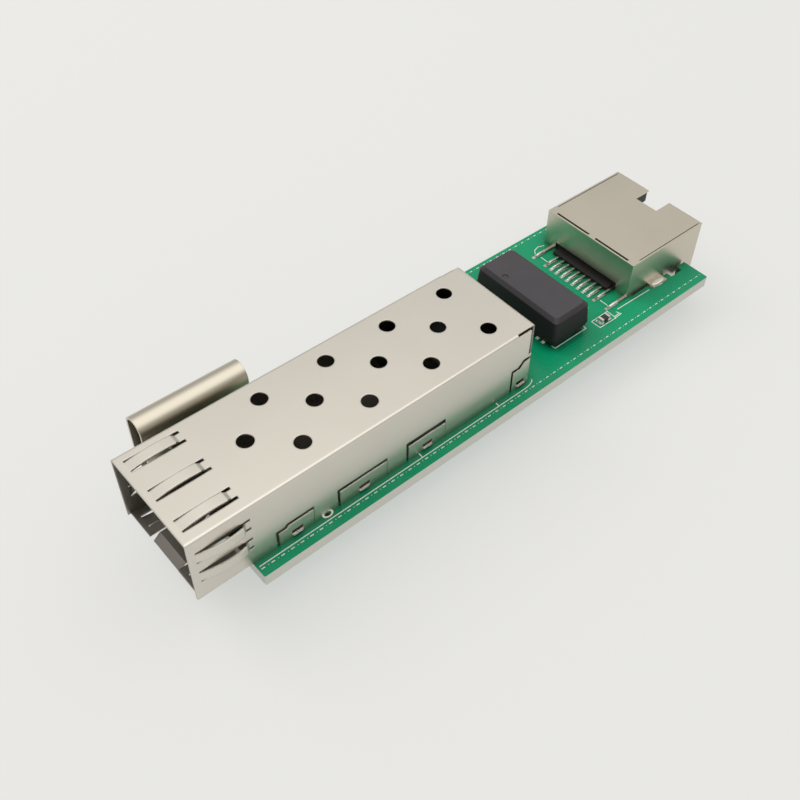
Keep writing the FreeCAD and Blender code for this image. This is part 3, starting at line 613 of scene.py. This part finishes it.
# Leads, feet and pads. Copper that was dipped in molten tin, so it is bright and slightly
# uneven. The pads are etched with the tracks and left open in the mask.
tin, tree, shader = new_material("tinned_copper")
place = add_node(tree, "ShaderNodeTexCoord")
cloud = add_node(
    tree, "ShaderNodeTexNoise", Vector=place.outputs["Object"], Scale=900.0, Detail=2.0
)
gloss = add_node(
    tree, "ShaderNodeMapRange", Value=cloud.outputs["Fac"], To_Min=0.22, To_Max=0.4
)
tree.links.new(gloss.outputs[0], shader.inputs["Roughness"])
shader.inputs["Base Color"].default_value = linear("#D9DAD6")
shader.inputs["Metallic"].default_value = 1.0
wear(tin, "transformer_feet", "bead_terminals", "memory_leads", "regulator_leads")
wear(tin, "decoupling_terminals")

contact_low, contact_high = node_box("jack_contacts")
tail_middle = (contact_low.y + contact_high.y) / 2
end_tail_spread = 4.7
shield_foot_spread = 7.0
tail_spots = [
    tail_middle + tail_pitch * (step - (tail_count - 1) / 2) for step in range(tail_count)
]
end_spots = [tail_middle + side * end_tail_spread for side in (-1, 1)]
end_spots += [tail_middle + side * shield_foot_spread for side in (-1, 1)]
pad_height = 0.03


def draw_pads(bm):
    """Pads under the tails, the jack's tabs and the bead."""
    for y in tail_spots + end_spots:
        add_bar(bm, (66.35, y), (68.2, y), 0.5, 0, pad_height)
    for y in (-5.55, 11.8):
        add_bar(bm, (75.2, y), (77.2, y), 1.0, 0, pad_height)
    for x in (63.75, 65.15):
        add_bar(bm, (x, -5.95), (x, -5.6), 0.75, 0, pad_height)


add_piece("tinned_pads", tin, draw_pads)


# Plated holes. Rings of tinned copper round small drilled holes, on both faces of the board,
# and one broad oval ring that shows beside the cage's second pin.
pin_shares = (0.17, 0.341, 0.548, 0.747, 0.875)
pin_places = [cage_length * share for share in pin_shares]
ringed_pin = pin_places[1]
hole_places = [
    (52.0, 5.5), (52.6, -3.2), (63.3, 3.1), (63.0, 8.2), (64.4, -2.6), (25.5, 11.1), (33.4, 10.3),
    (45.0, 11.2),
]
hole_ring = [(0, 0.3), (pad_height, 0.28), (pad_height, 0.15), (0, 0.14)]


def oval(x, y, z, half_x, half_y, sides=12):
    """Places round an oval on the board."""
    turns = [2 * math.pi * step / sides for step in range(sides)]
    return [spot(x + half_x * math.cos(turn), y + half_y * math.sin(turn), z) for turn in turns]


def add_rings(bm, rings, closed=True):
    """A form pulled up ring by ring from its first face. An open one keeps no end faces."""
    steps = [bm.faces.new([bm.verts.new(place) for place in rings[0]])]
    for ring in rings[1:]:
        pulled = bmesh.ops.extrude_face_region(bm, geom=[steps[-1]])["geom"]
        steps.append([item for item in pulled if isinstance(item, bmesh.types.BMFace)][0])
        for corner, place in zip(steps[-1].verts, ring):
            corner.co = place
    spare = steps[1:-1] if closed else steps
    bmesh.ops.delete(bm, geom=spare, context="FACES_ONLY")


def add_mound(bm, x, y, base, sections, sides=12, closed=True):
    """A form over one place. A section is a height from base and half sizes along X and Y."""
    rings = [oval(x, y, base + rise, half_x, half_y, sides) for rise, half_x, half_y in sections]
    add_rings(bm, rings, closed)


def draw_holes(bm):
    """A low ring on each face at every hole, and the oval one."""
    for x, y in hole_places:
        for face, outward in ((0.0, 1), (under_depth, -1)):
            ring = [(outward * rise, half, half) for rise, half in hole_ring]
            add_mound(bm, x, y, face, ring, closed=False)
    x = ringed_pin + 0.1
    add_rings(bm, [
        oval(x, -7.08, 0, 0.75, 0.52, 20), oval(x, -7.08, 0.04, 0.72, 0.49, 20),
        oval(x, -7.04, 0.04, 0.5, 0.4, 20), oval(x, -7.04, 0, 0.48, 0.39, 20),
    ], closed=False)


add_piece("plated_holes", tin, draw_holes)


# Hole plugs. Mask ink that was pressed into the tops of the cage's pin holes with the mask,
# in a shallow dome over each, apart from the pair of holes at the oval ring.
pin_y = 7.0
plug_dome = [(-0.2, 0.34, 0.34), (0.01, 0.37, 0.37), (0.02, 0.3, 0.3)]


def draw_plugs(bm):
    """A plug over each pin, apart from that pair."""
    for x in pin_places:
        for y in (-pin_y, pin_y):
            if x != ringed_pin:
                add_mound(bm, x, y, 0, plug_dome)


add_piece("hole_plugs", mask, draw_plugs)


# Solder. Tin alloy that froze in smooth drops, paler and less even than the plating. It
# joins every tail, tab, pin, leg and foot to the board.
solder, tree, shader = new_material("frozen_tin_solder")
place = add_node(tree, "ShaderNodeTexCoord")
cloud = add_node(
    tree, "ShaderNodeTexNoise", Vector=place.outputs["Object"], Scale=700.0, Detail=2.0
)
tone = add_node(
    tree, "ShaderNodeMix", {"data_type": "RGBA"},
    i0=cloud.outputs["Fac"], i6=linear("#DCE0DA"), i7=linear("#F2F5F0")
)
tree.links.new(tone.outputs[2], shader.inputs["Base Color"])
shader.inputs["Metallic"].default_value = 0.6
shader.inputs["Roughness"].default_value = 0.3
uneven = add_node(
    tree, "ShaderNodeBump", Strength=0.15, Distance=0.05 * MM, Height=cloud.outputs["Fac"]
)
tree.links.new(uneven.outputs[0], shader.inputs["Normal"])

# Each section of a tail's drop: its place along X, its half width and its height.
drop_sections = [
    (66.3, 0.1, 0.06), (66.42, 0.2, 0.2), (66.8, 0.25, 0.36), (67.3, 0.22, 0.4), (67.8, 0.18, 0.36),
    (68.2, 0.163, 0.31),
]
end_tail_setback = 0.35


def arch(x, y, half, height):
    """Places over a drop's cross-section, from one side of a tail to the other."""
    turns = [math.pi * step / 6 for step in range(7)]
    return [spot(x, y + half * math.cos(turn), 0.005 + height * math.sin(turn)) for turn in turns]


def draw_tail_solder(bm):
    """A drop on each tail in front of the jack: broad at the tip and thin towards the jack."""
    for y in tail_spots:
        add_rings(bm, [arch(x, y, half, height) for x, half, height in drop_sections])
    for y in end_spots:
        add_rings(bm, [
            arch(x + end_tail_setback, y, half, height) for x, half, height in drop_sections[1:]
        ])


add_piece("tail_solder", solder, draw_tail_solder)

tab_x = 76.2
tab_fillet = [(0.02, 1.5, 0.6), (0.14, 1.42, 0.5), (0.26, 1.2, 0.36), (0.29, 0.9, 0.24)]


def draw_tab_solder(bm):
    """A fillet that runs round each solder tab of the jack."""
    for y in (-5.5, 11.75):
        add_mound(bm, tab_x, y, 0, tab_fillet, sides=20)


add_piece("tab_solder", solder, draw_tab_solder)

pin_cone = [(-0.02, 0.66, 0.66), (-0.3, 0.5, 0.46), (-0.75, 0.38, 0.25), (-1.05, 0.32, 0.16)]


def draw_pin_solder(bm):
    """A cone of solder round each pin of the cage under the board."""
    for x in pin_places:
        for y in (-pin_y, pin_y):
            add_mound(bm, x, y, under_depth, pin_cone)


add_piece("pin_solder", solder, draw_pin_solder)

shell_low, shell_high = node_box("power_shell")
shell_length = shell_high.x - shell_low.x
shell_middle = (shell_low.y + shell_high.y) / 2
leg_places = [shell_low.x + shell_length * share for share in (0.36, 0.84)]
leg_reach = 1.75
leg_fillet = [(-0.3, 0.7, 0.7), (0.01, 0.78, 0.72), (0.15, 0.68, 0.45), (0.35, 0.58, 0.22)]
leg_cone = [(-0.02, 0.95, 0.85), (-0.4, 0.75, 0.5), (-0.75, 0.6, 0.25)]


def draw_leg_solder(bm):
    """A fillet round each leg of the power socket, above and under the board."""
    for x in leg_places:
        for y in (shell_middle - leg_reach, shell_middle + leg_reach):
            add_mound(bm, x, y, under_depth, leg_cone)
            add_mound(bm, x, y, 0, leg_fillet)


add_piece("leg_solder", solder, draw_leg_solder)

body_low, body_high = node_box("transformer_body")
foot_count = 12
foot_pitch = 1.0
foot_inset = 1.1
foot_reach = 0.75
foot_rows = ((body_low.x + foot_inset, -1), (body_high.x - foot_inset, 1))
foot_middle = (body_low.y + body_high.y) / 2
bead_low, bead_high = node_box("ferrite_bead")
bead_middle = (bead_low + bead_high) / 2
bead_reach = 0.62
bead_fillet = [(0.03, 0.3, 0.44), (0.3, 0.2, 0.42), (0.45, 0.1, 0.35)]


def draw_foot_solder(bm):
    """Pads and solder toes at the transformer's feet and at the bead's two ends."""
    for step in range(foot_count):
        y = foot_middle + (step - (foot_count - 1) / 2) * foot_pitch
        for x, out in foot_rows:
            add_bar(bm, (x - foot_reach, y), (x + foot_reach, y), 0.5, 0, pad_height)
            add_rings(bm, [
                oval(x + out * 0.66, y, pad_height, 0.22, 0.26, 8),
                oval(x + out * 0.64, y, 0.2, 0.12, 0.2, 8),
            ])
    for x in (bead_middle.x - bead_reach, bead_middle.x + bead_reach):
        add_mound(bm, x, bead_middle.y, 0, bead_fillet, sides=10)


add_piece("foot_solder", solder, draw_foot_solder)

chip_pad_count = 12
chip_pad_pitch = 0.5
chip_pad_width = 0.24
toe_height = 0.2
cap_height = 1.43
cap_reach = 0.58


def draw_chip_solder(bm):
    """Solder toes round the converter chip, and the caps on both supply capacitors."""
    near = chip_half + 0.05
    far = chip_half + 0.25
    base = under_depth - toe_height
    for step in range(chip_pad_count):
        offset = (step - (chip_pad_count - 1) / 2) * chip_pad_pitch
        for side in (-1, 1):
            x = chip_middle.x + offset
            start = (x, chip_middle.y + side * near)
            end = (x, chip_middle.y + side * far)
            add_bar(bm, start, end, chip_pad_width, base, toe_height)
            y = chip_middle.y + offset
            start = (chip_middle.x + side * near, y)
            end = (chip_middle.x + side * far, y)
            add_bar(bm, start, end, chip_pad_width, base, toe_height)
    for name in ("supply_capacitor_a", "supply_capacitor_b"):
        low, high = node_box(name)
        middle = (low.y + high.y) / 2
        for x in (low.x + 0.2, high.x - 0.2):
            start = (x, middle - cap_reach)
            end = (x, middle + cap_reach)
            add_bar(bm, start, end, 0.5, under_depth - cap_height, cap_height)


add_piece("chip_solder", solder, draw_chip_solder)


# Moulded parts. Black epoxy compound, pressed in a matt mould. The flat faces, top and bottom,
# keep a greyer painted light and the sides take a painted shade.
epoxy, tree, shader = new_material("moulded_epoxy")
place = add_node(tree, "ShaderNodeTexCoord")
cloud = add_node(
    tree, "ShaderNodeTexNoise", Vector=place.outputs["Object"], Scale=400.0, Detail=2.0
)
tone = add_node(
    tree, "ShaderNodeMix", {"data_type": "RGBA"},
    i0=cloud.outputs["Fac"], i6=linear("#3F3D40"), i7=linear("#474549")
)
# Painted light and shade: flat faces keep the lighter tone, the sides are mixed to a darker one.
facing = add_node(tree, "ShaderNodeSeparateXYZ", i0=place.outputs["Normal"])
flat = add_node(tree, "ShaderNodeMath", {"operation": "ABSOLUTE"}, i0=facing.outputs["Z"])
level = add_node(
    tree, "ShaderNodeMapRange", Value=flat.outputs[0], From_Min=0.5, From_Max=0.95
)
shade = add_node(
    tree, "ShaderNodeMix", {"data_type": "RGBA"},
    i0=level.outputs[0], i6=linear("#201D20"), i7=tone.outputs[2]
)
tree.links.new(shade.outputs[2], shader.inputs["Base Color"])
shader.inputs["Roughness"].default_value = 0.58
shader.inputs["Specular IOR Level"].default_value = 0.3
skin = add_node(
    tree, "ShaderNodeTexNoise", Vector=place.outputs["Object"], Scale=3000.0, Detail=3.0
)
corner = add_node(tree, "ShaderNodeBevel", {"samples": 4}, Radius=0.18 * MM)
matt = add_node(
    tree, "ShaderNodeBump", Strength=0.25, Distance=0.02 * MM,
    Height=skin.outputs["Fac"], Normal=corner.outputs[0]
)
tree.links.new(matt.outputs[0], shader.inputs["Normal"])
wear(epoxy, "transformer_body", "converter_chip", "memory_chip", "regulator", "inductor")


# Small capacitors. Layers of ceramic and foil, cut and fired to hard brown chips with a
# satin, faintly speckled skin.
ceramic, tree, shader = new_material("fired_ceramic")
place = add_node(tree, "ShaderNodeTexCoord")
grit = add_node(
    tree, "ShaderNodeTexNoise", Vector=place.outputs["Object"], Scale=1500.0, Detail=3.0
)
tone = add_node(
    tree, "ShaderNodeMix", {"data_type": "RGBA"},
    i0=grit.outputs["Fac"], i6=linear("#806A4E"), i7=linear("#947E62")
)
tree.links.new(tone.outputs[2], shader.inputs["Base Color"])
shader.inputs["Roughness"].default_value = 0.45
wear(ceramic, "supply_capacitor_a", "supply_capacitor_b", "decoupling_capacitors")


# Ferrite parts. Pressed powder, fired almost black with fine pits: the bead on top of the
# board, and the pot set in the inductor's square base.
ferrite, tree, shader = new_material("fired_ferrite")
place = add_node(tree, "ShaderNodeTexCoord")
grit = add_node(
    tree, "ShaderNodeTexNoise", Vector=place.outputs["Object"], Scale=2500.0, Detail=3.0
)
tone = add_node(
    tree, "ShaderNodeMix", {"data_type": "RGBA"},
    i0=grit.outputs["Fac"], i6=linear("#1F2122"), i7=linear("#282A2B")
)
tree.links.new(tone.outputs[2], shader.inputs["Base Color"])
shader.inputs["Roughness"].default_value = 0.4
pits = add_node(
    tree, "ShaderNodeBump", Strength=0.2, Distance=0.02 * MM, Height=grit.outputs["Fac"]
)
tree.links.new(pits.outputs[0], shader.inputs["Normal"])
wear(ferrite, "ferrite_bead")

pot_ring = [(-0.001, 1.75, 1.75), (-0.2, 1.7, 1.7), (-0.2, 1.2, 1.2), (-0.05, 1.1, 1.1)]


def draw_pot(bm):
    """The inductor's round pot: a raised ring and a sunk middle."""
    low, high = node_box("inductor")
    add_mound(bm, (low.x + high.x) / 2, (low.y + high.y) / 2, low.z, pot_ring, sides=24)


add_piece("inductor_pot", ferrite, draw_pot)


# Crystal. A pressed nickel lid, welded on to its can: a satin grey metal with a slightly
# cloudy shine.
lid, tree, shader = new_material("welded_can_lid")
shader.inputs["Base Color"].default_value = linear("#C9C7C0")
shader.inputs["Metallic"].default_value = 1.0
place = add_node(tree, "ShaderNodeTexCoord")
cloud = add_node(
    tree, "ShaderNodeTexNoise", Vector=place.outputs["Object"], Scale=500.0, Detail=2.0
)
gloss = add_node(
    tree, "ShaderNodeMapRange", Value=cloud.outputs["Fac"], To_Min=0.3, To_Max=0.4
)
tree.links.new(gloss.outputs[0], shader.inputs["Roughness"])
wear(lid, "crystal")


# Output.
bpy.context.scene.view_settings.view_transform = "Standard"
